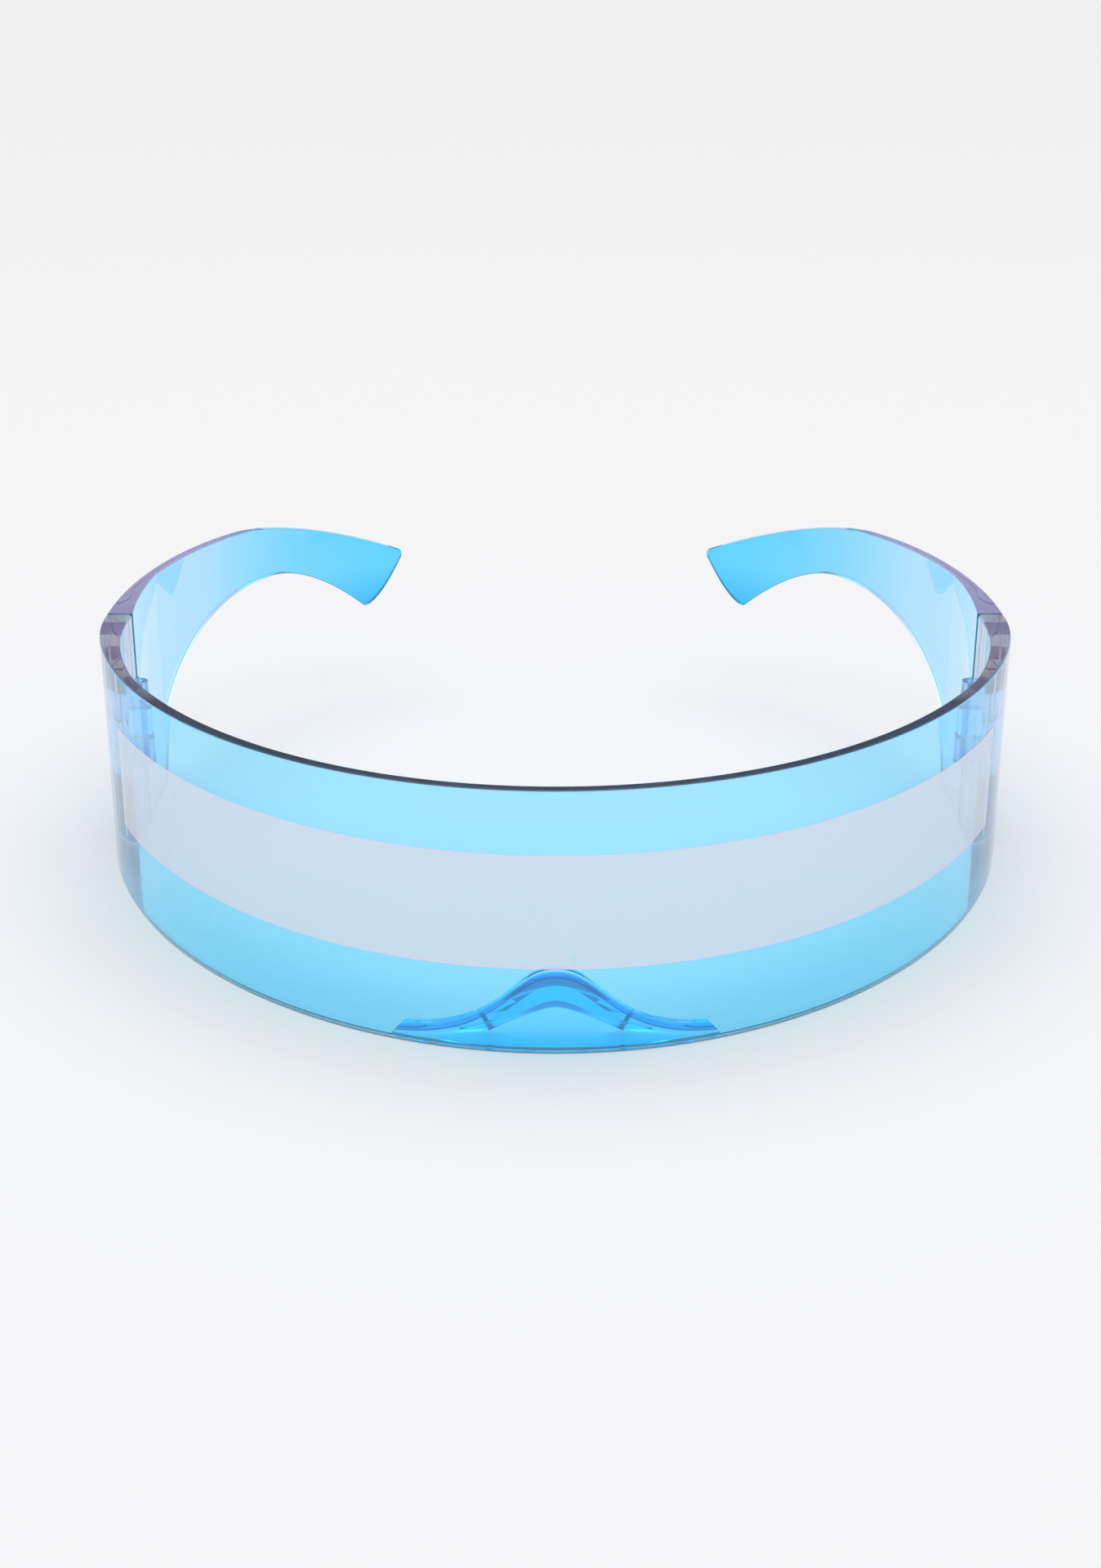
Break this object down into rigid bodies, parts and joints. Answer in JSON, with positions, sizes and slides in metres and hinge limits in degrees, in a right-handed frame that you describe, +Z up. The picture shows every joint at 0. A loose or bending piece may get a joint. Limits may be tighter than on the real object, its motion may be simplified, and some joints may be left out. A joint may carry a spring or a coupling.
{
  "type": "wrap-around shield glasses",
  "caption": "Wrap-around shield glasses with a tall curved one-piece lens, a mirror stripe, a bell-shaped nose bridge and two folding curved temples.",
  "frame": {"origin": "middle of the bounding box, on the plane of the lower edge", "axes": "+X towards the wearer's left, -Y out of the lens's front, +Z up"},
  "size_m": [0.1462, 0.1604, 0.0368],
  "materials": {
    "lens_plastic": "clear blue, polished",
    "mirror_film": "silver mirror, slightly see-through",
    "bridge_plastic": "clear blue, polished",
    "temple_plastic": "clear blue, polished",
    "pin_plastic": "clear blue"
  },
  "bodies": {
    "front": {"shield": "lens_plastic", "mirror_stripe": "mirror_film", "nose_bridge": "bridge_plastic", "hinge_pin_left": "pin_plastic", "hinge_pin_right": "pin_plastic"},
    "temple_left": {"temple_left": "temple_plastic"},
    "temple_right": {"temple_right": "temple_plastic"}
  },
  "joints": [
    {"name": "left_temple_fold", "type": "hinge", "parent": "front", "child": "temple_left", "pos_m": [0.0688, 0.00135, 0.0184], "axis": [0, 0, 1], "range_deg": [0, 110]},
    {"name": "right_temple_fold", "type": "hinge", "parent": "front", "child": "temple_right", "pos_m": [-0.0688, 0.00135, 0.0184], "axis": [0, 0, -1], "range_deg": [0, 110]}
  ]
}
